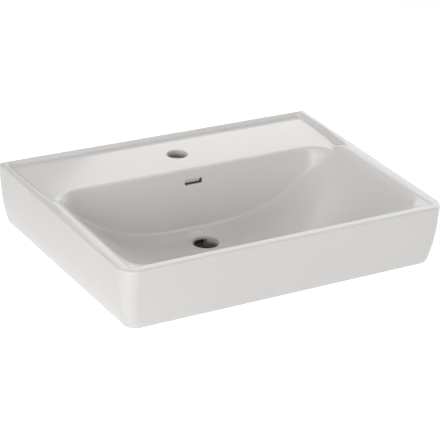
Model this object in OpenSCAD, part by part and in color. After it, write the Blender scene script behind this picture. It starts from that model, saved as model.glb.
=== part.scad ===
// Wall-hung washbasin: one glazed ceramic casting with its wall fixings in place.
// Millimetres. X runs to the right seen from the front, +Y towards the wall, +Z up.
// The origin lies on the wall, midway between the two fixing bolts.

/* [Overall size] */
// Width across the wall side
basin_w = 600; // [560:1:640]
// Width across the front
front_w = 572; // [555:1:600]
// Depth from the wall to the front
basin_d = 480; // [460:1:500]
// Height of the apron at the wall
apron_rear_h = 115; // [105:1:125]
// Height of the apron at the front
apron_front_h = 105; // [98:0.5:118]
// Inward draw of the sides at the bottom edge
side_draw = 14; // [8:0.5:18]
// Inward draw of the front at the bottom edge
front_draw = 14; // [8:0.5:20]
// Corner radius in plan at the front, at the rim
front_corner_r = 29; // [26:1:40]
// Corner radius in plan at the front, at the bottom edge
foot_corner_r = 21; // [18:1:28]
// Corner radius in plan at the wall
rear_corner_r = 6; // [5:0.5:9]
// Radius of the rim's outer edge
rim_edge_r = 4.5; // [3:0.5:5]
// Radius of the apron's bottom edge
foot_edge_r = 6; // [4:0.5:8]

/* [Ceramic thickness] */
// Thickness of the apron and of the bowl
wall_t = 11; // [9:0.5:12]
// Thickness of the wall that lies against the room's wall
rear_wall_t = 14; // [12:0.5:18]
// Thickness under the rim and the tap deck
deck_t = 14; // [12:0.5:18]

/* [Rim and tap deck] */
// Rim width beside the tap deck
side_rim = 5.5; // [5:0.5:8]
// Width of the side slope from the rim down to the deck
side_slope_w = 10.5; // [8:0.5:13]
// Thickness of the rear upstand at its top
upstand_t = 5.5; // [5:0.5:7]
// Width of the slope from the upstand down to the deck
upstand_slope_w = 3.5; // [2:0.5:5]
// Drop from the rim to the deck at the wall
deck_drop = 7.5; // [6:0.5:10]
// Further drop of the deck towards the bowl
deck_fall = 3.5; // [2:0.5:5]
// Radius of the edge between the deck and the bowl
deck_edge_r = 4; // [3:0.5:6]
// Corner radius in plan where the deck's edge meets the sides
deck_corner_r = 52; // [44:1:58]

/* [Bowl] */
// Distance from the wall to the rear wall of the bowl
bowl_rear = 141; // [136:1:146]
// Width of the bowl at rim height
bowl_w = 534; // [526:1:542]
// Distance from the front to the bowl at rim height
front_rim = 19; // [17:0.5:22]
// Corner radius of the bowl at the front
bowl_front_r = 34; // [30:1:38]
// Depth of the bowl at the foot of its rear wall
bowl_rear_depth = 115; // [110:1:120]
// Depth of the bowl where the waste is
bowl_depth = 129; // [126:1:134]
// Height over which the rim rolls into the bowl at the rear
shoulder_rear_h = 26; // [20:1:28]
// Height over which the rim rolls into the bowl at the front
shoulder_front_h = 12; // [8:1:16]
// Radius between the bowl's rear wall and its floor
bowl_foot_r = 4; // [3:0.5:8]
// Lean of the bowl's rear wall, in degrees
bowl_lean = 3.2; // [1:0.2:5]

/* [Holes] */
// Diameter of the tap hole
tap_hole_d = 35; // [33:0.5:37]
// Distance from the wall to the tap hole
tap_y = 77; // [72:1:84]
// Diameter of the waste hole
waste_hole_d = 46; // [44:0.5:48]
// Distance from the wall to the waste hole
waste_y = 190; // [184:1:196]
// Radius at which the floor starts to dip towards the waste hole
dish_r = 44; // [38:1:50]
// Depth of that dip
dish_h = 1; // [0.5:0.25:3]
// Thickness of the boss round the waste hole
boss_t = 9; // [7:0.5:12]
// Drop from the rim to the underside of that boss
boss_drop = 172; // [168:1:178]
// Width of the overflow slot
slot_w = 33; // [28:1:38]
// Height of the overflow slot
slot_h = 9; // [7:0.5:10]
// Corner radius of the overflow slot
slot_r = 2.5; // [1:0.5:3]
// Drop from the rim to the middle of the overflow slot
slot_drop = 36; // [34:1:42]
// Width of the overflow duct behind the bowl
duct_w = 56; // [44:1:64]
// Depth of the overflow duct from front to back
duct_d = 16; // [12:1:18]
// Thickness of the duct's walls
duct_t = 8; // [6:0.5:10]
// Thickness of the ceramic over the duct's port into the waste hole
port_web = 5; // [4:0.5:8]
// Height of that port
port_h = 12; // [9:0.5:13]
// Width of the port
port_w = 24; // [18:1:28]

/* [Wall fixings] */
// Distance between the two fixing bolts
fixing_pitch = 280; // [240:5:320]
// Drop from the rim to the fixing bolts
fixing_drop = 68; // [64:1:72]
// Diameter of the fixing holes in the ceramic
fixing_hole_d = 16; // [15.5:0.5:18]
// Thread diameter of the hanger bolts
bolt_d = 10; // [8:1:10]
// How far the bolts reach into the wall
bolt_wall_l = 66; // [50:1:68]
// How far the bolts stand out of the wall
bolt_room_l = 42; // [38:1:60]
// Outer diameter of the wall plugs
plug_d = 14; // [13:0.5:15]
// Length of the wall plugs
plug_l = 70; // [69:1:80]
// Outer diameter of the sleeves in the ceramic
sleeve_d = 15; // [13.5:0.5:15.3]
// Flange diameter of the sleeves
flange_d = 30; // [26:0.5:34]
// Flange thickness of the sleeves
flange_t = 3; // [2:0.5:4]
// Diameter of the washers
washer_d = 25; // [22:0.5:26]
// Thickness of the washers
washer_t = 2.5; // [2:0.5:3]
// Width across the flats of the nuts
nut_af = 17; // [15:0.5:19]
// Thickness of the nuts
nut_t = 8; // [6:0.5:10]
// Clearance round the bolts in the nuts and plugs, on the radius
thread_gap = 0.05; // [0.03:0.01:0.1]
// Clearance round the bolts in the sleeves and washers, on the radius
bolt_gap = 0.25; // [0.15:0.05:0.3]

/* [Hidden] */
$fn = 48;
glaze = [0.93, 0.93, 0.92];
nylon = [0.82, 0.82, 0.80];

// Steps in each stretch of a ring
n_rear = 16;
n_side = 8;
n_front = 14;
n_leg = 5;
n_bend = 3;
n_foot = 2;
n_rear_corner = n_leg + n_bend + n_foot;
n_front_corner = 6;
ring_n = n_rear + 2 * n_side + n_front + 2 * n_rear_corner + 2 * n_front_corner;

// How square the bowl is from side to side and from back to front
side_power = 3.12;
front_power = 4.2;
// How late the outer walls curve in towards the bottom
side_draw_power = 2.75;
front_draw_power = 1.35;
// How late the rim's inner slope turns down towards the deck
slope_power = 3;
// How late the rim turns down into the bowl
shoulder_power = 2.5;
// How far the slope round the deck reaches in at the front
front_slope_w = 4;
// Corner radii in plan at the wall, of that slope's top and of its foot
slope_rear_r = 3;
deck_rear_r = 7;
// Least corner radii in plan of a ring set in from the apron
least_rear_r = 2;
least_front_r = 8;
// How far the bowl's edge stands in from the slope's foot at the front
edge_front_in = 3;
// How far in from the bowl's edge, at its sides and front, the rings down its rear wall lie
wall_top_in = 2;
wall_foot_in = 6;
floor_in = 9;
// How much the apron thickens up to the underside, and how far in the underside's rings lie
root_t = 3;
root_r = 4;
under_edge_in = 5;
under_foot_in = 8;
// Width of the level seat round the waste hole
seat_w = 4;
// How far solids that join reach into each other, and how far cutters stand out
bite = 2;
// How much the sunken deck narrows on each side towards the bowl, from where and over what length
deck_pinch = 6;
pinch_y = 95;
pinch_run = 55;
// Length over which the sunken deck runs out beside the bowl, and its rear wall too
deck_runout = 55;
wall_runout = 60;
// How much more the bowl's outside stands out at its sides and front than its thickness
flank = 1.15;

bowl_a = bowl_w / 2;
bowl_front = basin_d - front_rim;
rim_z = fixing_drop;
corner_x = bowl_a - deck_corner_r;
corner_y = bowl_rear + deck_corner_r;
bowl_foot_y = bowl_rear + bowl_rear_depth * tan(bowl_lean);
deck_side_x = basin_w / 2 - side_rim - side_slope_w;
deck_rear_y = upstand_t + upstand_slope_w;
seat_r = waste_hole_d / 2 + seat_w;
hub_r = waste_hole_d / 3;
seat_y = rear_wall_t + flange_t;

function mix(a, b, t) = a + (b - a) * t;
function smooth(t) = let(u = min(1, max(0, t))) u * u * (3 - 2 * u);

// The lower of a level and a falling surface. The level starts to roll down where the surface
// is still height above it, and has joined the surface a little below.
function rolled(level, surface, height) =
    let(end = height * shoulder_power / (shoulder_power - 1),
        t = max(0, (level + height - surface) / end))
    t < 1 ? level - end / shoulder_power * pow(t, shoulder_power) : surface;
function shoulder_h(y) =
    mix(shoulder_rear_h, shoulder_front_h, smooth((-y - waste_y) / (bowl_front - waste_y)));

// One rounded four-sided ring, anticlockwise from above, from the right end of its rear
// corner. Its half width is hw where y is 0 and front_hw at the very front. A square ring
// has its rear corners drawn out along both sides, so that it lines up with a round one.
function arc(cx, cy, r, from, n) =
    [for (i = [0 : n]) [cx + r * cos(from + 90 * i / n), cy + r * sin(from + 90 * i / n)]];
function steps(a, b, from, to, n) = [for (i = [from : to]) mix(a, b, i / n)];
function mirrored(path) = [for (i = [len(path) - 1 : -1 : 0]) [-path[i].x, path[i].y]];
function rear_corner(hw, yr, r, square) = square
    ? concat(steps([hw, -corner_y], [hw, yr - r], 0, n_leg - 1, n_leg),
             arc(hw - r, yr - r, r, 0, n_bend),
             steps([hw - r, yr], [corner_x, yr], 1, n_foot, n_foot))
    : arc(hw - r, yr - r, r, 0, n_rear_corner);
function box_ring(hw, yr, yf, rr, rf, square) =
    let(rear = rear_corner(hw, yr, rr, square),
        front = arc(hw - rf, yf + rf, rf, 270, n_front_corner),
        rear_end = rear[len(rear) - 1],
        left = [-rear_end.x, rear_end.y],
        front_left = [-front[0].x, front[0].y],
        side = front[len(front) - 1])
    concat(rear, steps(rear_end, left, 1, n_rear - 1, n_rear), mirrored(rear),
           steps([-rear[0].x, rear[0].y], [-side.x, side.y], 1, n_side - 1, n_side), mirrored(front),
           steps(front_left, front[0], 1, n_front - 1, n_front), front,
           steps(side, rear[0], 1, n_side - 1, n_side));
function plan(hw, front_hw, rear, front, rr, rf, square = false) =
    [for (p = box_ring(hw, -rear, -front, rr, rf, square))
        [p.x * mix(1, front_hw / hw, -p.y / basin_d), p.y]];
function narrowed(ring, t) =
    [for (p = ring)
        [p.x * (1 - t * deck_pinch / deck_side_x * smooth((-p.y - pinch_y) / pinch_run)), p.y]];
function round_plan(r) =
    let(first = 90 - 180 * (n_rear + 2 * n_rear_corner) / ring_n)
    [for (i = [0 : ring_n - 1]) let(a = first + 360 * i / ring_n) [r * cos(a), r * sin(a) - waste_y]];

// Heights below the rim. The deck falls towards the bowl, and its sinking runs out beside it.
function deck_depth(y) = deck_drop + deck_fall * pow(min(1, max(0, -y / bowl_rear)), 2);
function deck_share(y) = 1 - smooth((-y - bowl_rear) / deck_runout);
function wall_share(y) = 1 - smooth((-y - bowl_rear - deck_edge_r) / wall_runout);

// The bowl as a trough, where grow is 0, or its outside, where grow is its thickness
function middle_depth(y) =
    let(t = min(1, max(0, (y + waste_y) / (waste_y - bowl_rear))))
    bowl_depth - (bowl_depth - bowl_rear_depth) * t * t;
function trough(x, y, grow) =
    let(u = pow(abs(x) / (bowl_a + flank * grow), side_power),
        reach = bowl_front + flank * grow - waste_y,
        v = y < -waste_y ? pow((-waste_y - y) / reach, front_power) : 0)
    u < 1 && v < 1 ? -(middle_depth(y) + grow) * (1 - u) * (1 - v) : bowl_depth * max(u - 1, v - 1);

// A ring laid on that surface. sink is how much of the deck's depth it has reached. Where the
// bowl's rear wall stands under it, edge turns from 0 to 90 over the wall's top edge, drop
// goes from 0 to 1 down the wall, and foot turns from 0 to 90 round into the floor.
function laid(ring, sink = 1, edge = 0, drop = 0, foot = 0, grow = 0) =
    let(roof = grow > 0 ? deck_t : 0)
    [for (p = ring) let(
        low = rolled(-deck_share(p.y) * sink * deck_depth(p.y) - roof, trough(p.x, p.y, grow),
                     shoulder_h(p.y)),
        high = mix(low, max(low, -sink * deck_depth(p.y) - roof), wall_share(p.y)),
        top_r = min(deck_edge_r, (high - low) / 2),
        foot_r = min(bowl_foot_r, (high - low) / 2),
        top = high - top_r * (1 - cos(edge)),
        bottom = low + foot_r * (1 - sin(foot)))
        [p.x, p.y, mix(top, bottom, drop)]];

// Outer and inner faces of the apron: t runs from 0 at the rim to 1 at the bottom edge
function apron_h(y) = mix(apron_rear_h, apron_front_h, -y / basin_d);
function apron(t, inset, rear_inset) =
    let(side_in = side_draw * pow(t, side_draw_power) + inset,
        front_in = front_draw * pow(t, front_draw_power) + inset,
        ring = plan(basin_w / 2 - side_in, front_w / 2 - side_in, rear_inset, basin_d - front_in,
                    max(rear_corner_r - inset, least_rear_r),
                    max(mix(front_corner_r, foot_corner_r, t) - inset, least_front_r), square = true))
    [for (p = ring) [p.x, p.y, -t * apron_h(p.y)]];

// Inside of the hollow, from under the waste out to the apron
inner_edge = wall_t + root_t;
hollow_hw = basin_w / 2 - inner_edge;
hollow_front_hw = front_w / 2 - inner_edge;
hollow_front = basin_d - inner_edge;
hollow_ring = plan(hollow_hw, hollow_front_hw, rear_wall_t + root_t, hollow_front, root_r,
                   front_corner_r - inner_edge, square = true);
function under_ring(in, rear) =
    plan(hollow_hw - in, hollow_front_hw - in, rear, hollow_front - in, deck_corner_r, bowl_front_r);
under_edge = under_ring(under_edge_in, bowl_rear - wall_t);
under_foot = under_ring(under_foot_in, bowl_foot_y - wall_t);
under_rings = concat(
    [for (r = [hub_r, dish_r]) [for (p = round_plan(r)) [p.x, p.y, -bowl_depth - dish_h - wall_t]]],
    [for (t = [0.8, 0.58, 0.36, 0.2, 0.08, 0])
        laid(mix(under_foot, round_plan(dish_r), t), edge = 90, drop = 1, foot = 90, grow = wall_t)],
    [for (t = [0.5, 0]) laid(mix(under_edge, under_foot, t), drop = t, foot = 90, grow = wall_t)],
    [for (t = [0.6, 0.25, 0]) laid(mix(hollow_ring, under_edge, t), grow = wall_t)],
    [for (t = [0.32, 0.55, 0.8, 0.98]) apron(t, wall_t, rear_wall_t)]);

// Outside of the apron, from its bottom edge up and over the rim's edge
outer_rings = concat(
    [for (a = [90, 60, 30, 0]) let(i = foot_edge_r * (1 - cos(a)))
        apron(1 - foot_edge_r * (1 - sin(a)) / apron_rear_h, i, i)],
    [for (t = [0.84, 0.7, 0.54, 0.36]) apron(t, 0, 0)],
    [for (a = [0, 30, 60, 90]) let(i = rim_edge_r * (1 - cos(a)))
        apron(rim_edge_r * (1 - sin(a)) / apron_rear_h, i, i)]);

// From the rim down to the deck, over its edge, down the rear wall and along the floor
slope_top_hw = front_w / 2 - side_rim;
slope_front_hw = slope_top_hw - front_slope_w + deck_pinch;
edge_front_hw = min(slope_top_hw - front_slope_w, bowl_a - front_slope_w) - edge_front_in;
function slope_ring(t) = narrowed(
    plan(basin_w / 2 - side_rim - side_slope_w * t, mix(slope_top_hw, slope_front_hw, t),
         upstand_t + upstand_slope_w * t, mix(basin_d - front_rim / 2, bowl_front + front_slope_w, t),
         mix(slope_rear_r, deck_rear_r, t), mix(front_corner_r - side_rim, bowl_front_r, t),
         square = true), t);
function bowl_ring(in, rear, r) =
    plan(bowl_a - in, edge_front_hw - in, rear, bowl_front - in, r, bowl_front_r);
deck_foot = slope_ring(1);
deck_edge = bowl_ring(0, bowl_rear - deck_edge_r, deck_corner_r - deck_edge_r);
wall_top = bowl_ring(wall_top_in, bowl_rear, deck_corner_r);
wall_foot = bowl_ring(wall_foot_in, bowl_foot_y, deck_corner_r);
floor_edge = bowl_ring(floor_in, bowl_foot_y + bowl_foot_r, deck_corner_r - bowl_foot_r);
top_rings = concat(
    [for (t = [0, 0.35, 0.6, 0.8, 1]) laid(slope_ring(t), sink = pow(t, slope_power))],
    [for (t = [0.2, 0.5, 0.8, 1]) laid(mix(deck_foot, deck_edge, t))],
    [for (a = [30, 60, 90]) laid(mix(deck_edge, wall_top, sin(a)), edge = a)],
    [for (t = [0.5, 1]) laid(mix(wall_top, wall_foot, t), edge = 90, drop = t)],
    [for (a = [30, 60, 90])
        laid(mix(wall_foot, floor_edge, 1 - cos(a)), edge = 90, drop = 1, foot = a)],
    [for (t = [0.06, 0.13, 0.22, 0.33, 0.46, 0.62, 0.82, 1])
        laid(mix(floor_edge, round_plan(dish_r), t), edge = 90, drop = 1, foot = 90)],
    [for (r = [mix(dish_r, seat_r, 0.25), mix(dish_r, seat_r, 0.5), mix(dish_r, seat_r, 0.75), seat_r, hub_r])
        [for (p = laid(round_plan(r), drop = 1, foot = 90))
            [p.x, p.y, mix(p.z, -bowl_depth - dish_h, smooth((dish_r - r) / (dish_r - seat_r)))]]]);

// Skins a list of rings into one closed solid, with each four-sided face split the short way
module skin(rings) {
    points = [for (ring = rings) each ring];
    last = (len(rings) - 1) * ring_n;
    sides = [for (j = [0 : len(rings) - 2], i = [0 : ring_n - 1])
        let(a = j * ring_n + i, b = j * ring_n + (i + 1) % ring_n, c = b + ring_n, d = a + ring_n)
        each norm(points[a] - points[c]) < norm(points[b] - points[d])
            ? [[a, d, c], [a, c, b]] : [[a, d, b], [b, d, c]]];
    caps = [[for (i = [0 : ring_n - 1]) i], [for (i = [0 : ring_n - 1]) last + ring_n - 1 - i]];
    polyhedron(points, concat(sides, caps));
}

// A flat slot with rounded corners, of width w and height h, extruded along +Z
module rounded_slot(w, h, r, length) {
    linear_extrude(length) union() {
        square([w, h - 2 * r], center = true);
        square([w - 2 * r, h], center = true);
        for (x = [-1, 1], y = [-1, 1])
            translate([x * (w / 2 - r), y * (h / 2 - r)]) circle(r, $fn = 24);
    }
}

// A cylinder along Y between two distances in front of the wall
module rod(r, from, to, fn = 48) {
    translate([0, -from, 0]) rotate([90, 0, 0]) cylinder(r = r, h = to - from, $fn = fn);
}

duct_top = deck_drop + deck_t - bite;
duct_front = bowl_rear - wall_t;
port_top = bowl_depth + dish_h + port_web;
housing_bottom = port_top + port_h + duct_t;

// A block of width w, from a front distance to a rear distance off the wall and between drops
module block(w, front, rear, bottom, top) {
    translate([-w / 2, -front, -bottom]) cube([w, front - rear, bottom - top]);
}

module duct_housing() {
    block(duct_w + 2 * duct_t, duct_front + duct_t, duct_front - duct_d - duct_t, housing_bottom, duct_top);
    block(port_w + 2 * duct_t, waste_y - dish_r, duct_front, housing_bottom, bowl_rear_depth + wall_t - bite);
    block(port_w + 2 * duct_t, waste_y, duct_front, housing_bottom, bowl_depth + dish_h + bite);
}

module duct_void() {
    block(duct_w, duct_front, duct_front - duct_d, port_top + port_h, slot_drop - slot_h);
    block(port_w, waste_y, duct_front - bite, port_top + port_h, port_top);
    translate([0, bite - duct_front, -slot_drop]) rotate([90, 0, 0])
        rounded_slot(slot_w, slot_h, slot_r, 2 * wall_t);
}

module ceramic_basin() {
    color(glaze) translate([0, 0, rim_z]) difference() {
        union() {
            skin(concat(under_rings, outer_rings, top_rings));
            translate([0, -waste_y, -boss_drop])
                cylinder(r = waste_hole_d / 2 + boss_t, h = boss_drop - bowl_depth - dish_h - bite);
            duct_housing();
        }
        translate([0, -waste_y, -boss_drop - bite]) cylinder(d = waste_hole_d, h = boss_drop, $fn = 96);
        translate([0, -tap_y, -deck_drop - 2 * deck_t]) cylinder(d = tap_hole_d, h = 3 * deck_t, $fn = 96);
        duct_void();
        for (side = [-1, 1])
            translate([side * fixing_pitch / 2, 0, -fixing_drop])
                rod(fixing_hole_d / 2, -bite, rear_wall_t + bite);
    }
}

module at_fixing(side) {
    translate([side * fixing_pitch / 2, 0, 0]) children();
}

module hanger_bolts() {
    color("silver") for (side = [-1, 1]) at_fixing(side) {
        rod(bolt_d / 2, -bolt_wall_l, bolt_room_l);
    }
}

module fixing_nuts() {
    color("silver") for (side = [-1, 1]) at_fixing(side) difference() {
        rod(nut_af / sqrt(3), seat_y + washer_t, seat_y + washer_t + nut_t, 6);
        rod(bolt_d / 2 + thread_gap, seat_y, seat_y + washer_t + nut_t + bite);
    }
}

module fixing_washers() {
    color("silver") for (side = [-1, 1]) at_fixing(side) difference() {
        rod(washer_d / 2, seat_y, seat_y + washer_t);
        rod(bolt_d / 2 + bolt_gap, seat_y - bite, seat_y + washer_t + bite);
    }
}

module fixing_sleeve(side) {
    color(nylon) at_fixing(side) difference() {
        union() {
            rod(sleeve_d / 2, 0, rear_wall_t);
            rod(flange_d / 2, rear_wall_t, seat_y);
        }
        rod(bolt_d / 2 + bolt_gap, -bite, seat_y + bite);
    }
}

module wall_plug(side) {
    color(nylon) at_fixing(side) difference() {
        rod(plug_d / 2, -plug_l, 0);
        rod(bolt_d / 2 + thread_gap, -bolt_wall_l, bite);
    }
}

module fixing_sleeve_left() fixing_sleeve(-1);
module fixing_sleeve_right() fixing_sleeve(1);
module wall_plug_left() wall_plug(-1);
module wall_plug_right() wall_plug(1);

ceramic_basin();
hanger_bolts();
fixing_nuts();
fixing_washers();
fixing_sleeve_left();
fixing_sleeve_right();
wall_plug_left();
wall_plug_right();
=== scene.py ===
import math
import bpy
from mathutils import Matrix, Vector


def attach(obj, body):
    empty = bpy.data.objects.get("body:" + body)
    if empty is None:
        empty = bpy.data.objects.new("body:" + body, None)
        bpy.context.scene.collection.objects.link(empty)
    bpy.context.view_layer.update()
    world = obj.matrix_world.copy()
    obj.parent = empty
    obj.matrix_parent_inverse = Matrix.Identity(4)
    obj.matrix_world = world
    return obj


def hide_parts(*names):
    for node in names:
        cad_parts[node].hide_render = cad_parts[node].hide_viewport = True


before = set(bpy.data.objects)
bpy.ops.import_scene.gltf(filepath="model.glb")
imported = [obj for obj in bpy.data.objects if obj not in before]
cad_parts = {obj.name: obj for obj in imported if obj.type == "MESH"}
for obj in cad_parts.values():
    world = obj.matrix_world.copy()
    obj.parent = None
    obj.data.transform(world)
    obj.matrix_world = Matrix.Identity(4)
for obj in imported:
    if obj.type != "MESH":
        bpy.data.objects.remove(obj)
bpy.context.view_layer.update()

# the view
# The basin is seen from its left front, from a little above, through a long lens. The camera
# is placed by the turn, tilt and roll that bring the rim's four corners onto the photograph's.
PHOTO_SIDE = 440
aside, down, away = 0.0003, 0.0078, 2.6744
turn, tilt, roll = math.radians(-28.37), math.radians(24.51), math.radians(1.168)
back = Vector((math.sin(turn) * math.cos(tilt), -math.cos(turn) * math.cos(tilt), math.sin(tilt)))
level = Vector((0, 0, 1)).cross(back).normalized()
rise = back.cross(level)
right = math.cos(roll) * level + math.sin(roll) * rise
up = math.cos(roll) * rise - math.sin(roll) * level
place = Vector((0, -0.240, 0.008)) + aside * right - down * up + away * back

bpy.ops.object.select_all(action="DESELECT")
bpy.ops.object.camera_add()
camera = bpy.context.object
camera.name = "camera"
camera.matrix_world = Matrix((
    (right.x, up.x, back.x, place.x),
    (right.y, up.y, back.y, place.y),
    (right.z, up.z, back.z, place.z),
    (0, 0, 0, 1)))
camera.data.lens = 130.91
camera.data.sensor_width = 36
camera.data.shift_x = -0.5 / PHOTO_SIDE
camera.data.shift_y = 0.5 / PHOTO_SIDE
camera.data.clip_end = 60
bpy.context.scene.camera = camera

# the ceramic basin
# One slip-cast vitreous china body: rim, sunken tap deck, bowl, apron and the hollow beneath,
# glazed white all over except where it meets the wall. Its surface is laid ring by ring, from
# the waste's boss underneath, round the foot and the rim, down into the bowl and the waste.
# Sizes are in millimetres, counted forwards from the wall and down from the rim.
RIM = 68
WIDTH, FRONT_WIDTH, DEPTH = 600, 572, 480
APRON_REAR, APRON_FRONT = 115, 105
SIDE_DRAW, FRONT_DRAW = 14, 14
FRONT_R, FOOT_R, REAR_R = 29, 21, 6
RIM_EDGE, FOOT_EDGE = 4.5, 6
WALL, REAR_WALL, ROOF = 11, 14, 14
LEAST_REAR_R, LEAST_FRONT_R = 2, 8
SIDE_RIM, SIDE_SLOPE, UPSTAND, UPSTAND_SLOPE = 5.5, 10.5, 5.5, 3.5
DECK_DROP, DECK_FALL, DECK_EDGE, DECK_CORNER = 7.5, 3.5, 4, 52
BOWL_REAR, BOWL_HALF, BOWL_FRONT, BOWL_FRONT_R = 141, 267, 461, 34
REAR_DEPTH, MID_DEPTH, BOWL_FOOT = 115, 129, 4
REAR_SHOULDER, FRONT_SHOULDER = 26, 12
LEAN = math.radians(3.2)
TAP_Y, TAP_R = 77, 17.5
WASTE_Y, WASTE_R, DISH_R, DISH_H, SEAT_R = 190, 23, 36, 1, 25.5
BOSS_R, BOSS_DROP = 32, 172
SIDE_POWER, FRONT_POWER, SIDE_DRAW_POWER, FRONT_DRAW_POWER = 3.12, 4.2, 2.75, 1.35
SLOPE_POWER, SHOULDER_POWER = 3, 2.5
PINCH, PINCH_Y, PINCH_RUN = 6, 95, 55
DECK_RUNOUT, WALL_RUNOUT, FLANK = 55, 60, 1.15

# stations in each stretch of a ring
FINE = 4
N_REAR, N_SIDE, N_FRONT = 16 * FINE, 8 * FINE, 14 * FINE
N_LEG, N_BEND, N_FOOT, N_CORNER = 5 * FINE, 3 * FINE, 2 * FINE, 6 * FINE
N_REAR_CORNER = N_LEG + N_BEND + N_FOOT
RING = N_REAR + 2 * N_SIDE + N_FRONT + 2 * N_REAR_CORNER + 2 * N_CORNER

CORNER_X, CORNER_Y = BOWL_HALF - DECK_CORNER, BOWL_REAR + DECK_CORNER
BOWL_FOOT_Y = BOWL_REAR + REAR_DEPTH * math.tan(LEAN)


def mix(a, b, t):
    return a + (b - a) * t


def clamp(t):
    return min(1, max(0, t))


def smooth(t):
    return clamp(t) ** 2 * (3 - 2 * clamp(t))


def rolled(level, surface, height):
    """The lower of a level and a falling surface, which the level rolls down into."""
    end = height * SHOULDER_POWER / (SHOULDER_POWER - 1)
    t = max(0, (level + height - surface) / end)
    return level - end / SHOULDER_POWER * t ** SHOULDER_POWER if t < 1 else surface


def arc(cx, cy, r, start, n):
    turns = [math.radians(start + 90 * i / n) for i in range(n + 1)]
    return [(cx + r * math.cos(a), cy + r * math.sin(a)) for a in turns]


def steps(a, b, first, last, n):
    return [(mix(a[0], b[0], i / n), mix(a[1], b[1], i / n)) for i in range(first, last + 1)]


def rear_corner(half, rear, r, square):
    if not square:
        return arc(half - r, rear - r, r, 0, N_REAR_CORNER)
    return (steps((half, -CORNER_Y), (half, rear - r), 0, N_LEG - 1, N_LEG)
            + arc(half - r, rear - r, r, 0, N_BEND)
            + steps((half - r, rear), (CORNER_X, rear), 1, N_FOOT, N_FOOT))


def plan(half, front_half, rear, front, rear_r, front_r, square=False):
    """A rounded four-sided outline from above, anticlockwise from its rear right corner."""
    corner = rear_corner(half, -rear, rear_r, square)
    nose = arc(half - front_r, front_r - front, front_r, 270, N_CORNER)
    flip = lambda path: [(-x, y) for x, y in reversed(path)]
    left, left_nose = flip(corner), flip(nose)
    outline = (corner + steps(corner[-1], left[0], 1, N_REAR - 1, N_REAR) + left
               + steps(left[-1], left_nose[0], 1, N_SIDE - 1, N_SIDE) + left_nose
               + steps(left_nose[-1], nose[0], 1, N_FRONT - 1, N_FRONT) + nose
               + steps(nose[-1], corner[0], 1, N_SIDE - 1, N_SIDE))
    return [(x * mix(1, front_half / half, -y / DEPTH), y) for x, y in outline]


def narrowed(outline, t):
    """The outline drawn in by its share of the deck's narrowing towards the bowl."""
    share = t * PINCH / (WIDTH / 2 - SIDE_RIM - SIDE_SLOPE)
    return [(x * (1 - share * smooth((-y - PINCH_Y) / PINCH_RUN)), y) for x, y in outline]


def round_plan(r):
    first = 90 - 180 * (N_REAR + 2 * N_REAR_CORNER) / RING
    turns = [math.radians(first + 360 * i / RING) for i in range(RING)]
    return [(r * math.cos(a), r * math.sin(a) - WASTE_Y) for a in turns]


def between(a, b, t):
    return [tuple(mix(p, q, t) for p, q in zip(m, n)) for m, n in zip(a, b)]


def deck_depth(y):
    return DECK_DROP + DECK_FALL * clamp(-y / BOWL_REAR) ** 2


def middle_depth(y):
    t = clamp((y + WASTE_Y) / (WASTE_Y - BOWL_REAR))
    return MID_DEPTH - (MID_DEPTH - REAR_DEPTH) * t * t


def trough(x, y, grow):
    """Height of the bowl, drawn on past its rear wall, or of its outside."""
    u = (abs(x) / (BOWL_HALF + FLANK * grow)) ** SIDE_POWER
    reach = BOWL_FRONT + FLANK * grow - WASTE_Y
    v = (max(-WASTE_Y - y, 0) / reach) ** FRONT_POWER
    if u < 1 and v < 1:
        return -(middle_depth(y) + grow) * (1 - u) * (1 - v)
    return MID_DEPTH * max(u - 1, v - 1)


def laid(outline, sink=1, edge=0, drop=0, foot=0, grow=0):
    """Lays an outline on the deck, over its edge, down the rear wall and on the floor."""
    ring, roof = [], ROOF if grow else 0
    for x, y in outline:
        deck = 1 - smooth((-y - BOWL_REAR) / DECK_RUNOUT)
        wall = 1 - smooth((-y - BOWL_REAR - DECK_EDGE) / WALL_RUNOUT)
        height = mix(REAR_SHOULDER, FRONT_SHOULDER, smooth((-y - WASTE_Y) / (BOWL_FRONT - WASTE_Y)))
        low = rolled(-deck * sink * deck_depth(y) - roof, trough(x, y, grow), height)
        high = mix(low, max(low, -sink * deck_depth(y) - roof), wall)
        top = high - min(DECK_EDGE, (high - low) / 2) * (1 - math.cos(math.radians(edge)))
        bottom = low + min(BOWL_FOOT, (high - low) / 2) * (1 - math.sin(math.radians(foot)))
        ring.append((x, y, mix(top, bottom, drop)))
    return ring


def apron(t, inset, rear_inset):
    side = SIDE_DRAW * clamp(t) ** SIDE_DRAW_POWER + inset
    nose = FRONT_DRAW * clamp(t) ** FRONT_DRAW_POWER + inset
    outline = plan(WIDTH / 2 - side, FRONT_WIDTH / 2 - side, rear_inset, DEPTH - nose,
                   max(REAR_R - inset, LEAST_REAR_R),
                   max(mix(FRONT_R, FOOT_R, t) - inset, LEAST_FRONT_R), square=True)
    return [(x, y, -t * mix(APRON_REAR, APRON_FRONT, -y / DEPTH)) for x, y in outline]


def circle(r, z):
    return [(x, y, z) for x, y in round_plan(r)]


def quarter(n, first=0):
    return [90 * i / n for i in range(first, n + 1)]


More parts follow.
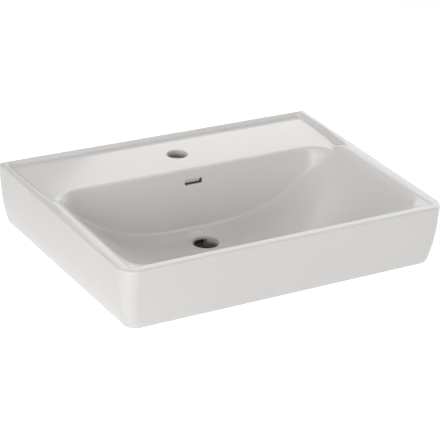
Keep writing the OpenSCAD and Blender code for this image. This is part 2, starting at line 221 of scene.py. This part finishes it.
def loft(name, rings, hollow=False):
    """A sheet of quads rolled round a list of closed rings, its seam merged and its ends shut.
    A hollow one joins its last ring to its first."""
    rings = [list(ring) for ring in rings] + ([rings[0]] if hollow else [])
    around = len(rings[0])
    bpy.ops.object.select_all(action="DESELECT")
    bpy.ops.mesh.primitive_grid_add(x_subdivisions=around, y_subdivisions=len(rings) - 1)
    piece = bpy.context.object
    piece.name = name
    flat = []
    for ring in rings:
        for i in range(around + 1):
            x, y, z = ring[i % around]
            flat += [x / 1000, y / 1000, (z + RIM) / 1000]
    piece.data.vertices.foreach_set("co", flat)
    piece.data.update()
    bpy.ops.object.mode_set(mode="EDIT")
    bpy.ops.mesh.select_all(action="SELECT")
    bpy.ops.mesh.remove_doubles(threshold=0.00001)
    if not hollow:
        bpy.ops.mesh.select_all(action="DESELECT")
        bpy.ops.mesh.select_mode(type="EDGE")
        bpy.ops.mesh.select_non_manifold()
        bpy.ops.mesh.edge_face_add()
        bpy.ops.mesh.select_mode(type="VERT")
    bpy.ops.mesh.select_all(action="SELECT")
    bpy.ops.mesh.normals_make_consistent(inside=False)
    bpy.ops.object.mode_set(mode="OBJECT")
    return piece


def carve(piece, tool, operation="DIFFERENCE"):
    """Cuts the tool out of the piece, or adds it, and throws the tool away."""
    bpy.ops.object.select_all(action="DESELECT")
    bpy.context.view_layer.objects.active = piece
    cut = piece.modifiers.new("cut", "BOOLEAN")
    cut.object, cut.operation, cut.solver = tool, operation, "EXACT"
    bpy.ops.object.modifier_apply(modifier=cut.name)
    bpy.data.objects.remove(tool)


# the waste's bore and the boss round it, from its mouth down and up again outside
MOUTH, CHAMFER, FILLET = 2.4, 1.5, 5
waste_floor = -MID_DEPTH - DISH_H
under_floor = waste_floor - WALL
bore = [circle(WASTE_R + MOUTH * (1 - math.sin(math.radians(a))),
               waste_floor - MOUTH * (1 - math.cos(math.radians(a)))) for a in quarter(6, 1)]
bore += [circle(WASTE_R, z) for z in (-140, -148, -156, -164)]
bore += [circle(WASTE_R + CHAMFER * (1 - math.cos(math.radians(a))),
                CHAMFER - BOSS_DROP - CHAMFER * math.sin(math.radians(a))) for a in quarter(3)]
bore += [circle(mix(WASTE_R, BOSS_R, 0.5), -BOSS_DROP)]
bore += [circle(BOSS_R - CHAMFER * (1 - math.sin(math.radians(a))),
                CHAMFER - BOSS_DROP - CHAMFER * math.cos(math.radians(a))) for a in quarter(3)]
bore += [circle(BOSS_R, z) for z in (-164, -158, -152)]
bore += [circle(BOSS_R + FILLET * (1 - math.cos(math.radians(a))),
                under_floor - FILLET * (1 - math.sin(math.radians(a)))) for a in quarter(4)]

# the underside of the bowl and of the rim, and the inside of the apron
ROOT_T, ROOT_R, FOOT_LIP = 3, 4, 2.5
UNDER_EDGE_IN, UNDER_FOOT_IN, LEVEL_FROM = 5, 8, 0.75
inner = WALL + ROOT_T
hollow_half, hollow_front_half = WIDTH / 2 - inner, FRONT_WIDTH / 2 - inner
hollow_front = DEPTH - inner


def under_ring(inset, rear):
    return plan(hollow_half - inset, hollow_front_half - inset, rear, hollow_front - inset,
                DECK_CORNER, BOWL_FRONT_R)


hollow_plan = plan(hollow_half, hollow_front_half, REAR_WALL + ROOT_T, hollow_front, ROOT_R,
                   FRONT_R - inner, square=True)
under_edge = under_ring(UNDER_EDGE_IN, BOWL_REAR - WALL)
under_foot = under_ring(UNDER_FOOT_IN, BOWL_FOOT_Y - WALL)
under_hub = round_plan(DISH_R)
under = [circle(DISH_R - ROOT_T, under_floor)]
for t in (1, 0.97, 0.94, 0.9, 0.86, 0.82, 0.78, 0.7, 0.62, 0.54, 0.46, 0.38, 0.31, 0.25, 0.19, 0.14,
          0.1, 0.06, 0.03, 0):
    ring = laid(between(under_foot, under_hub, t), edge=90, drop=1, foot=90, grow=WALL)
    level = smooth((t - LEVEL_FROM) / (1 - LEVEL_FROM))
    under.append([(x, y, mix(z, under_floor, level)) for x, y, z in ring])
for t in (0.86, 0.72, 0.58, 0.44, 0.3, 0.16, 0.06, 0):
    under.append(laid(between(under_edge, under_foot, t), drop=t, foot=90, grow=WALL))
for t in (0.85, 0.7, 0.55, 0.4, 0.25, 0.1, 0):
    under.append(laid(between(hollow_plan, under_edge, t), grow=WALL))
under += [apron(t, WALL, REAR_WALL) for t in (0.3, 0.38, 0.46, 0.54, 0.62, 0.7, 0.78, 0.86, 0.92)]
under += [apron(1 - FOOT_LIP * (1 - math.sin(math.radians(a))) / APRON_REAR,
                WALL - FOOT_LIP * (1 - math.cos(math.radians(a))),
                REAR_WALL - FOOT_LIP * (1 - math.cos(math.radians(a)))) for a in quarter(4)]

# the outside, from the foot's edge up and over the edge of the rim
outside = []
for a in reversed(quarter(8)):
    inset = FOOT_EDGE * (1 - math.cos(math.radians(a)))
    lift = FOOT_EDGE * (1 - math.sin(math.radians(a)))
    outside.append(apron(1 - lift / APRON_REAR, inset, inset))
outside += [apron(t, 0, 0) for t in
            (0.91, 0.86, 0.8, 0.74, 0.68, 0.61, 0.54, 0.47, 0.4, 0.33, 0.26, 0.19, 0.13, 0.08)]
for a in quarter(8):
    inset = RIM_EDGE * (1 - math.cos(math.radians(a)))
    outside.append(apron(RIM_EDGE * (1 - math.sin(math.radians(a))) / APRON_REAR, inset, inset))

# the rim, the slope inside it, the deck and its edge, the rear wall, its foot and the floor
FRONT_SLOPE, SLOPE_REAR_R, DECK_REAR_R = 4, 3, 7
EDGE_FRONT_IN, WALL_TOP_IN, WALL_FOOT_IN, FLOOR_IN = 3, 2, 6, 9
slope_top = FRONT_WIDTH / 2 - SIDE_RIM
edge_front = min(slope_top, BOWL_HALF) - FRONT_SLOPE - EDGE_FRONT_IN


def slope_ring(t):
    """The slope between the rim and the deck, from its top at 0 to its foot at 1."""
    front = mix((DEPTH + BOWL_FRONT) / 2, BOWL_FRONT + FRONT_SLOPE, t)
    ring = plan(WIDTH / 2 - SIDE_RIM - SIDE_SLOPE * t, slope_top + (PINCH - FRONT_SLOPE) * t,
                UPSTAND + UPSTAND_SLOPE * t, front, mix(SLOPE_REAR_R, DECK_REAR_R, t),
                mix(FRONT_R - SIDE_RIM, BOWL_FRONT_R, t), square=True)
    return narrowed(ring, t)


def bowl_ring(inset, rear, r):
    return plan(BOWL_HALF - inset, edge_front - inset, rear, BOWL_FRONT - inset, r, BOWL_FRONT_R)


deck_foot = slope_ring(1)
deck_edge = bowl_ring(0, BOWL_REAR - DECK_EDGE, DECK_CORNER - DECK_EDGE)
wall_top = bowl_ring(WALL_TOP_IN, BOWL_REAR, DECK_CORNER)
wall_foot = bowl_ring(WALL_FOOT_IN, BOWL_FOOT_Y, DECK_CORNER)
floor_edge = bowl_ring(FLOOR_IN, BOWL_FOOT_Y + BOWL_FOOT, DECK_CORNER - BOWL_FOOT)
inside = [laid(slope_ring(i / 16), sink=(i / 16) ** SLOPE_POWER) for i in range(17)]
inside = [between(outside[-1], inside[0], t) for t in (0.33, 0.67)] + inside
for t in (0.03, 0.08, 0.15, 0.23, 0.32, 0.41, 0.5, 0.59, 0.68, 0.77, 0.85, 0.92, 0.97, 1):
    inside.append(laid(between(deck_foot, deck_edge, t)))
for a in quarter(8, 1):
    inside.append(laid(between(deck_edge, wall_top, math.sin(math.radians(a))), edge=a))
for t in (0.06, 0.14, 0.24, 0.36, 0.5, 0.64, 0.76, 0.86, 0.94, 1):
    inside.append(laid(between(wall_top, wall_foot, t), edge=90, drop=t))
for a in quarter(6, 1):
    outline = between(wall_foot, floor_edge, 1 - math.cos(math.radians(a)))
    inside.append(laid(outline, edge=90, drop=1, foot=a))
dish_plan = round_plan(DISH_R)
for i in range(28):
    t = ((i + 1) / 28) ** 1.35
    inside.append(laid(between(floor_edge, dish_plan, t), edge=90, drop=1, foot=90))
for i in range(12):
    dip = (i + 1) / 12
    ring = laid(round_plan(mix(DISH_R, SEAT_R, dip)), drop=1, foot=90)
    inside.append([(x, y, mix(z, waste_floor, smooth(dip))) for x, y, z in ring])
inside.append(circle(WASTE_R + MOUTH, waste_floor))

basin = loft("ceramic_body", bore + under + outside + inside, hollow=True)


# the overflow's duct on the back of the bowl, with its port into the waste's bore
DUCT_W, DUCT_D, DUCT_T, PORT_W, PORT_H, PORT_WEB = 56, 16, 8, 24, 12, 5
BITE = 1
duct_front = BOWL_REAR - WALL
port_top = MID_DEPTH + DISH_H + PORT_WEB
port_bottom = port_top + PORT_H


def block(width, front, rear, bottom, top, bevel=0):
    """A block by its width, its distances in front of the wall and its drops below the rim."""
    bpy.ops.object.select_all(action="DESELECT")
    bpy.ops.mesh.primitive_cube_add(size=1)
    piece = bpy.context.object
    bpy.ops.object.mode_set(mode="EDIT")
    bpy.ops.transform.resize(value=(width / 1000, (front - rear) / 1000, (bottom - top) / 1000))
    height = (RIM - (bottom + top) / 2) / 1000
    bpy.ops.transform.translate(value=(0, -(front + rear) / 2000, height))
    if bevel:
        bpy.ops.mesh.bevel(offset=bevel / 1000, segments=4, profile=0.5)
    bpy.ops.object.mode_set(mode="OBJECT")
    return piece


housing_bottom = port_bottom + DUCT_T
housing = block(DUCT_W + 2 * DUCT_T, duct_front + DUCT_T, duct_front - DUCT_D - DUCT_T,
                housing_bottom, DECK_DROP + ROOF - BITE, bevel=5)
for front, top in ((BOWL_FOOT_Y, middle_depth(-BOWL_FOOT_Y) + WALL / 3),
                   (WASTE_Y - DISH_R, middle_depth(DISH_R - WASTE_Y) + WALL / 3),
                   (WASTE_Y - WASTE_R - BITE, MID_DEPTH + DISH_H + 2 * BITE)):
    step = block(PORT_W + 2 * DUCT_T, front, duct_front, housing_bottom, top, bevel=2.5)
    carve(housing, step, "UNION")
carve(basin, housing, "UNION")

# the holes: each mouth that shows is rounded over, and follows the surface that it opens in
SLOT_W, SLOT_H, SLOT_R, SLOT_DROP = 33, 9, 2.5, 36
SLOT_MOUTH, TAP_MOUTH = 2.4, 2.2
FIXING_X, FIXING_R = 140, 8


def mouth(r):
    """Steps out of a hole and over its rounded edge: how far outwards, and how far in."""
    turns = [math.radians(78 * i / 6) for i in range(7)]
    lip = [(r * (1 - math.cos(a)), r * (1 - math.sin(a))) for a in turns]
    out, depth = lip[-1]
    end = turns[-1]
    return lip + [(out + r * math.sin(end) / 2, depth - r * math.cos(end) / 2), (1.3 * r, -3)]


def slot_ring(grow, depth):
    """The slot's outline, grown, at a depth into the leaning rear wall of the bowl."""
    ring, r, edge_depth = [], SLOT_R + grow, DECK_DROP + DECK_FALL + DECK_EDGE
    for turn, sx, sz in ((0, 1, 1), (90, -1, 1), (180, -1, -1), (270, 1, -1)):
        for i in range(9):
            a = math.radians(turn + 90 * i / 8)
            x = sx * (SLOT_W / 2 - SLOT_R) + r * math.cos(a)
            z = sz * (SLOT_H / 2 - SLOT_R) + r * math.sin(a) - SLOT_DROP
            down = (-z - edge_depth) / (REAR_DEPTH - edge_depth - BOWL_FOOT)
            ring.append((x, depth - mix(BOWL_REAR, BOWL_FOOT_Y, down), z))
    return ring


def tap_ring(grow, depth):
    turns = [2 * math.pi * i / 96 for i in range(96)]
    ring = [((TAP_R + grow) * math.cos(a), (TAP_R + grow) * math.sin(a) - TAP_Y) for a in turns]
    return [(x, y, -deck_depth(y) - depth) for x, y in ring]


def turned(name, path, x=-FIXING_X, n=48, hollow=False):
    """A piece turned about a fixing's axis. Its path gives each radius, or a function that
    gives the radius at an angle, and its place along Y."""
    rings = []
    for radius, y in path:
        ring = []
        for i in range(n):
            a = 2 * math.pi * i / n
            r = radius(a) if callable(radius) else radius
            ring.append((x + r * math.cos(a), y, r * math.sin(a) - RIM))
        rings.append(ring)
    return loft(name, rings, hollow)


duct = block(DUCT_W, duct_front, duct_front - DUCT_D, port_bottom, SLOT_DROP - SLOT_H, bevel=2)
carve(duct, block(PORT_W, WASTE_Y, duct_front - BITE, port_bottom, port_top), "UNION")
slot = loft("slot", [slot_ring(0, WALL + 6)] + [slot_ring(*step) for step in mouth(SLOT_MOUTH)])
carve(duct, slot, "UNION")
holes = [duct, loft("tap", [tap_ring(0, 40)] + [tap_ring(*step) for step in mouth(TAP_MOUTH)])]
holes += [turned("fixing", [(FIXING_R, BITE), (FIXING_R, -REAR_WALL - BITE)], x)
          for x in (-FIXING_X, FIXING_X)]
bpy.ops.object.select_all(action="DESELECT")
for hole in holes:
    hole.select_set(True)
bpy.context.view_layer.objects.active = duct
bpy.ops.object.join()
carve(basin, duct)


def finish_shell(piece, angle, weighted=True):
    """Smooth shading up to an angle, led by the larger faces."""
    bpy.ops.object.select_all(action="DESELECT")
    piece.select_set(True)
    bpy.context.view_layer.objects.active = piece
    bpy.ops.object.shade_smooth_by_angle(angle=math.radians(angle))
    if weighted:
        even = piece.modifiers.new("even", "WEIGHTED_NORMAL")
        even.keep_sharp = True
        even.weight = 50
        bpy.ops.object.modifier_apply(modifier=even.name)


finish_shell(basin, 35)


class Value:
    """A socket in a material, with the usual sums on it."""

    def __init__(self, tree, socket=None):
        self.tree, self.socket = tree, socket

    def node(self, kind, *inputs, out=0, named=None, **settings):
        """Any other node: its settings first, then its sockets in order or by name."""
        node = self.tree.nodes.new(kind)
        for name, setting in settings.items():
            setattr(node, name, setting)
        for key, value in list(enumerate(inputs)) + list((named or {}).items()):
            if isinstance(value, Value):
                self.tree.links.new(value.socket, node.inputs[key])
            elif value is not None:
                node.inputs[key].default_value = value
        return Value(self.tree, node.outputs[out])

    def sum(self, operation, *values):
        return self.node("ShaderNodeMath", *values, operation=operation)

    def __add__(self, other): return self.sum("ADD", self, other)
    def __radd__(self, other): return self.sum("ADD", other, self)
    def __sub__(self, other): return self.sum("SUBTRACT", self, other)
    def __rsub__(self, other): return self.sum("SUBTRACT", other, self)
    def __mul__(self, other): return self.sum("MULTIPLY", self, other)
    def __rmul__(self, other): return self.sum("MULTIPLY", other, self)
    def __pow__(self, other): return self.sum("POWER", self, other)

    def step(self, low, high, start=0, end=1):
        """A smooth change from start to end as the value passes from low to high."""
        return self.node("ShaderNodeMapRange", self, low, high, start, end,
                         interpolation_type="SMOOTHSTEP")

    def split(self):
        return [self.node("ShaderNodeSeparateXYZ", self, out=i) for i in range(3)]

    def blend(self, a, b):
        """The colour a where the value is 0 and b where it is 1."""
        colour = [c if isinstance(c, Value) else (*c, 1) for c in (a, b)]
        return self.node("ShaderNodeMix", data_type="RGBA", out=2,
                         named={0: self, 6: colour[0], 7: colour[1]})

    def noise(self, scale, detail):
        return self.node("ShaderNodeTexNoise",
                         named={"Vector": self, "Scale": scale, "Detail": detail})


def finish_of(name):
    """A new material's shader and its point on the object, in metres."""
    finish = bpy.data.materials.new(name)
    finish.use_nodes = True
    tree = finish.node_tree
    shader = tree.nodes["Principled BSDF"]
    return finish, shader, Value(tree).node("ShaderNodeTexCoord", out=3)


def feed(shader, **inputs):
    for name, value in inputs.items():
        socket = shader.inputs[name.replace("_", " ")]
        if isinstance(value, Value):
            value.tree.links.new(value.socket, socket)
        else:
            socket.default_value = value


# white glaze, faintly uneven in colour and in its surface, and bare biscuit where it was wiped
glaze, shader, point = finish_of("glaze")
x, y, z = point.split()
cloud = point.noise(5, 3).step(0.35, 0.65)
pale = cloud.blend((0.81, 0.792, 0.776), (0.832, 0.814, 0.798))
pin = point.node("ShaderNodeTexVoronoi", named={"Vector": point, "Scale": 120})
pins = pin.step(0.035, 0.06, 1, 0)
ragged = point.noise(60, 2) * 0.0012
wiped = (y + ragged).step(-0.0012, 0.0002)
seat = (z - ragged).step(-0.1034, -0.1026, 1, 0)
bare = wiped.sum("MAXIMUM", wiped, seat)
grit = point.noise(900, 2)
biscuit = grit.blend((0.66, 0.62, 0.55), (0.76, 0.73, 0.67))
colour = (pins * 0.25).blend(pale, (0.55, 0.53, 0.5))
colour = bare.blend(colour, biscuit)


def off_axis(axis_y):
    """How far from an upright axis in the basin's middle."""
    ahead = y + axis_y / 1000
    return (x * x + ahead * ahead) ** 0.5


# the glaze stops in the holes' mouths, and the clay inside them is grey bare clay with painted
# shade: darker deeper down the tap and waste bores, near black through the duct and port, lighter
# only up the duct's back wall
tap_wall = off_axis(TAP_Y).step(0.0176, 0.0193, 1, 0)
waste_wall = off_axis(WASTE_Y).step(0.0231, 0.025, 1, 0) * z.step(-0.0995, -0.0985)
across = x.sum("ABSOLUTE", x)
in_duct = across.step(0.0288, 0.0292, 1, 0) * y.step(-0.1405, -0.138) \
    * y.step(-0.1135, -0.113, 1, 0) * z.step(0.0412, 0.042, 1, 0) * z.step(-0.0796, -0.0792)
in_port = across.step(0.0121, 0.0125, 1, 0) * y.step(-0.1905, -0.19) \
    * y.step(-0.13, -0.129, 1, 0) * z.step(-0.0669, -0.0666, 1, 0) * z.step(-0.0796, -0.0792)
# painted light and shade in the duct: its upper back wall lighter grey as if lit, the rest of the
# duct and the port painted near black shade
duct_back_painted_light = y.step(-0.116, -0.115) * z.step(0.0, 0.02)
duct_painted_light_and_shade = duct_back_painted_light.blend((0.12, 0.115, 0.11), (0.42, 0.4, 0.37))
# painted shade: the waste bore's bare clay pale near the mouth and darker towards the bottom
waste_clay_painted_shade = z.step(-0.077, -0.066).blend((0.10, 0.09, 0.08), (0.6, 0.58, 0.55))
# painted shade: the tap bore's bare clay pale near the mouth and darker towards the bottom
tap_clay_painted_shade = z.step(0.046, 0.058).blend((0.18, 0.165, 0.15), (0.7, 0.67, 0.63))
colour = tap_wall.blend(colour, tap_clay_painted_shade)
colour = waste_wall.blend(colour, waste_clay_painted_shade)
in_duct = in_duct.sum("MAXIMUM", in_duct, in_port)
colour = in_duct.blend(colour, duct_painted_light_and_shade)
bare = bare.sum("MAXIMUM", bare, tap_wall)
bare = bare.sum("MAXIMUM", bare, waste_wall.sum("MAXIMUM", waste_wall, in_duct))
swell = point.noise(16, 1) * 0.6 + point.noise(70, 2) * 0.08
height = swell + bare * (grit * 0.5 - 0.3)
normal = point.node("ShaderNodeBump",
                    named={"Strength": 0.25, "Distance": 0.0008, "Height": height})
feed(shader, Base_Color=colour, Roughness=bare.step(0, 1, 0.16, 0.8), Normal=normal, IOR=1.5)


def dress(piece, material, node):
    """Gives a piece its material, hides its node's imported part, and hangs it on the root body."""
    piece.data.materials.clear()
    piece.data.materials.append(material)
    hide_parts(node)
    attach(piece, "root")


dress(basin, glaze, "ceramic_basin")

# the hanger bolts
# Two steel studs, zinc plated. Each has a rolled M10 thread on the room side for its nut, a
# plain shank, and a coarse wood thread with a tapered point that bites in the wall plug.
def thread(y, pitch, root, crest, flat, flank):
    """The radius round a threaded rod at y. The ridge's flat and flank are shares of the pitch."""
    def radius(a):
        off = abs((y / pitch + a / (2 * math.pi)) % 1 - 0.5)
        return mix(crest, root, clamp((off - flat / 2) / flank))
    return radius


def eased_to(radius, plain, share, limit):
    """A thread's radius run out into a plain one, and held inside a limit."""
    return lambda a: min(limit, mix(radius(a), plain, share))


FRONT_END, REAR_END, SHANK, WOOD_START = -42, 66, 4.5, 9
NUT_PITCH, NUT_ROOT, NUT_CREST, NUT_STEPS = 1.5, 4.15, 4.98, 172
WOOD_PITCH, WOOD_ROOT, WOOD_CREST, WOOD_STEPS = 4.5, 3.5, 4.95, 153
path = [(2, FRONT_END)]
for i in range(NUT_STEPS):
    y = FRONT_END + NUT_PITCH / 8 * i
    ridge = thread(y, NUT_PITCH, NUT_ROOT, NUT_CREST, 0.125, 0.3125)
    runout = smooth((i - NUT_STEPS + 12) / 11)
    path.append((eased_to(ridge, SHANK, runout, 4 + y - FRONT_END), y))
for i in range(WOOD_STEPS):
    y = WOOD_START + WOOD_PITCH / 12 * i
    ridge = thread(y, WOOD_PITCH, WOOD_ROOT, WOOD_CREST, 0.07, 0.2)
    tip = 5 * math.sqrt(clamp((REAR_END + 0.3 - y) / 11))
    path.append((eased_to(ridge, SHANK, 1 - smooth(i / 10), tip), y))
bolts = turned("bolts", path, n=40)
finish_shell(bolts, 30, weighted=False)


def twin(piece, name):
    """A copy of a left-hand piece at the right-hand fixing."""
    bpy.ops.object.select_all(action="DESELECT")
    piece.select_set(True)
    bpy.context.view_layer.objects.active = piece
    bpy.ops.object.duplicate()
    copy = bpy.context.object
    copy.name = name
    bpy.ops.object.mode_set(mode="EDIT")
    bpy.ops.mesh.select_all(action="SELECT")
    bpy.ops.transform.translate(value=(2 * FIXING_X / 1000, 0, 0))
    bpy.ops.object.mode_set(mode="OBJECT")
    return copy


def pair_up(piece):
    """Joins a left-hand piece and its twin, where one node holds both."""
    other = twin(piece, "other")
    piece.select_set(True)
    bpy.context.view_layer.objects.active = piece
    bpy.ops.object.join()


# bright zinc plating, clouded, with fine marks along and round the piece
zinc, shader, point = finish_of("zinc_steel")
cloud = point.noise(90, 3).step(0.35, 0.65)
colour = cloud.blend((0.56, 0.57, 0.585), (0.68, 0.69, 0.70))
scratch = point.noise(1400, 2)
rough = cloud.step(0, 1, 0.28, 0.36) + scratch * 0.08
normal = point.node("ShaderNodeBump",
                    named={"Strength": 0.2, "Distance": 0.00005, "Height": scratch})
feed(shader, Base_Color=colour, Metallic=1.0, Roughness=rough, Normal=normal)
pair_up(bolts)
dress(bolts, zinc, "hanger_bolts")

# the nuts
# Hexagon nuts, 17 mm across the flats, hot forged and tapped, zinc plated. Both faces are
# turned to a shallow cone at the corners, and the bore is countersunk for the bolt.
NUT_FRONT, NUT_REAR, FLAT = -27.5, -19.5, 8.5
NUT_BORE, COUNTERSINK, SINK_DEPTH, CONE_START, CONE_SLOPE = 5.05, 5.6, 0.6, 8.1, 1.73


def hexagon(limit):
    return lambda a: min(limit, FLAT / math.cos(a % (math.pi / 3) - math.pi / 6))


cone = [(hexagon(CONE_START + CONE_SLOPE * s), s)
        for s in (0, 0.15, 0.3, 0.45, 0.6, 0.75, 0.9, 1.05)]
path = [(NUT_BORE, NUT_FRONT + SINK_DEPTH), (COUNTERSINK, NUT_FRONT)]
path += [(r, NUT_FRONT + s) for r, s in cone] + [(r, NUT_REAR - s) for r, s in reversed(cone)]
path += [(COUNTERSINK, NUT_REAR), (NUT_BORE, NUT_REAR - SINK_DEPTH)]
nuts = turned("nuts", path, n=96, hollow=True)
finish_shell(nuts, 28)
pair_up(nuts)
dress(nuts, zinc, "fixing_nuts")

# the washers
# Punched steel washers, 25 mm across, zinc plated, with the punch's soft edge all round.
WASHER_T, WASHER_R, CLEAR_R = 2.5, 12.5, 5.25


def eased(path, size):
    """A closed path with each corner cut back by size and rounded."""
    out = []
    for i, corner in enumerate(path):
        ends = []
        for other in (path[i - 1], path[(i + 1) % len(path)]):
            run = math.dist(corner, other)
            ends.append([mix(p, q, size / run) for p, q in zip(corner, other)])
        for t in (0, 0.25, 0.5, 0.75, 1):
            out.append(tuple((1 - t) ** 2 * a + 2 * t * (1 - t) * c + t * t * b
                             for a, c, b in zip(ends[0], corner, ends[1])))
    return out


washer_rear = NUT_REAR + WASHER_T
outline = [(CLEAR_R, NUT_REAR), (WASHER_R, NUT_REAR),
           (WASHER_R, washer_rear), (CLEAR_R, washer_rear)]
washers = turned("washers", eased(outline, 0.45), n=96, hollow=True)
finish_shell(washers, 28)
pair_up(washers)
dress(washers, zinc, "fixing_washers")

# the sleeves
# Moulded nylon bushes. The tube centres the bolt in its hole in the ceramic, and the flange
# keeps the washer off the glaze.
nylon, shader, point = finish_of("nylon")
cloud = point.noise(40, 2).step(0.35, 0.65)
colour = cloud.blend((0.67, 0.67, 0.64), (0.73, 0.73, 0.70))
grain = point.noise(1800, 2)
normal = point.node("ShaderNodeBump", named={"Strength": 0.3, "Distance": 0.0001, "Height": grain})
feed(shader, Base_Color=colour, Roughness=cloud.step(0, 1, 0.45, 0.52), Normal=normal)
TUBE_R, FLANGE_R = 7.5, 15
outline = [(CLEAR_R, washer_rear), (FLANGE_R, washer_rear), (FLANGE_R, -REAR_WALL),
           (TUBE_R, -REAR_WALL), (TUBE_R, 0), (CLEAR_R, 0)]
sleeve = turned("sleeve_left", eased(outline, 0.6), n=96, hollow=True)
finish_shell(sleeve, 28)
dress(twin(sleeve, "sleeve_right"), nylon, "fixing_sleeve_right")
dress(sleeve, nylon, "fixing_sleeve_left")

# the wall plugs
# Moulded nylon plugs that would sit in the drilled wall: a collar at the mouth, barbed ribs
# down the body, a blunt closed tip, and a slit through both sides that lets the body spread.
PLUG_BORE, PLUG_ROOT, RIB_R, COLLAR_R, RIB_PITCH, RIBS = 5.05, 6.1, 6.95, 7, 4, 14
SLIT_HALF, SLIT_START, SLIT_END = 0.7, 10, 54
path = [(1, REAR_END), (PLUG_BORE, REAR_END), (PLUG_BORE, 0.5), (5.5, 0), (6.6, 0),
        (COLLAR_R, 0.4), (COLLAR_R, 2.2), (PLUG_ROOT, 2.8), (PLUG_ROOT, 4)]
for i in range(RIBS):
    y = RIB_PITCH * (i + 1)
    path += [(PLUG_ROOT, y + 0.1), (RIB_R, y + 3.2), (RIB_R, y + 3.6), (PLUG_ROOT, y + 3.9)]
path += [(PLUG_ROOT, 61), (6, 64), (5.2, 68), (4.2, 69.4), (3, 70), (1, 70)]
plug = turned("plug_left", path, n=64)
slit = []
for z in (-9, 9):
    turns = [2 * math.pi * (i + 0.5) / 24 for i in range(24)]
    slit.append([(SLIT_HALF * math.cos(a) - FIXING_X,
                  (SLIT_END if a < math.pi else SLIT_START) + SLIT_HALF * math.sin(a), z - RIM)
                 for a in turns])
carve(plug, loft("slit", slit))
finish_shell(plug, 28)
dress(twin(plug, "plug_right"), nylon, "wall_plug_right")
dress(plug, nylon, "wall_plug_left")

# floor and light
# The basin hangs at its usual height over a plain pale floor. Eight soft lamps stand round it:
# a low one at the left front is the strongest, and high ones at the left, rear and right front
# light the deck. They reach the apron and deck fully and the depth of the bowl less.
FLOOR_DROP, AMBIENT, LAMP_AWAY = 0.782, 0.01, 3.2
bpy.ops.object.select_all(action="DESELECT")
bpy.ops.mesh.primitive_plane_add(size=60, location=(0, 0, -FLOOR_DROP))
floor = bpy.context.object
floor.name = "floor"


def seen(tree):
    """1 for what the camera sees straight, in a reflection or through glass, and 0 for light."""
    path = [Value(tree).node("ShaderNodeLightPath", out=name)
            for name in ("Is Camera Ray", "Is Glossy Ray", "Is Transmission Ray")]
    return path[0].sum("MAXIMUM", path[0].sum("MAXIMUM", path[1], path[2]), path[0])


ground, shader, point = finish_of("floor")
feed(shader, Base_Color=(0.8, 0.8, 0.8, 1), Roughness=0.9, Specular_IOR_Level=0.0,
     Emission_Color=(1, 1, 1, 1))
feed(shader, Emission_Strength=seen(ground.node_tree) * 0.85)
floor.data.materials.append(ground)

world = bpy.data.worlds.new("studio")
bpy.context.scene.world = world
world.use_nodes = True
sky = world.node_tree.nodes["Background"]
sky.inputs["Color"].default_value = (1, 1, 1, 1)
feed(sky, Strength=AMBIENT + seen(world.node_tree) * (1 - AMBIENT))

for name, turn, lift, power, width in (
        ("left_front", -45, 8, 46, 2.8), ("left_high", -90, 40, 34, 2.8),
        ("right", 90, 12, 33, 2.8), ("front", 0, 8, 20, 2.8), ("rear_right", 135, 32, 25, 2.8),
        ("rear", 180, 50, 12, 2.8), ("right_high", 90, 40, 6, 2.8), ("right_front", 46, 53, 9, 1)):
    turn, lift = math.radians(turn), math.radians(lift)
    aim = Vector((math.sin(turn) * math.cos(lift), -math.cos(turn) * math.cos(lift),
                  math.sin(lift)))
    bpy.ops.object.light_add(type="AREA", location=Vector((0, -0.24, 0)) + LAMP_AWAY * aim)
    lamp = bpy.context.object
    lamp.name = name
    lamp.rotation_euler = aim.to_track_quat("Z", "Y").to_euler()
    lamp.data.shape, lamp.data.size, lamp.data.size_y = "RECTANGLE", width, width * 0.7
    lamp.data.energy = power
    lamp.visible_camera = False
bpy.context.scene.view_settings.view_transform = "Standard"
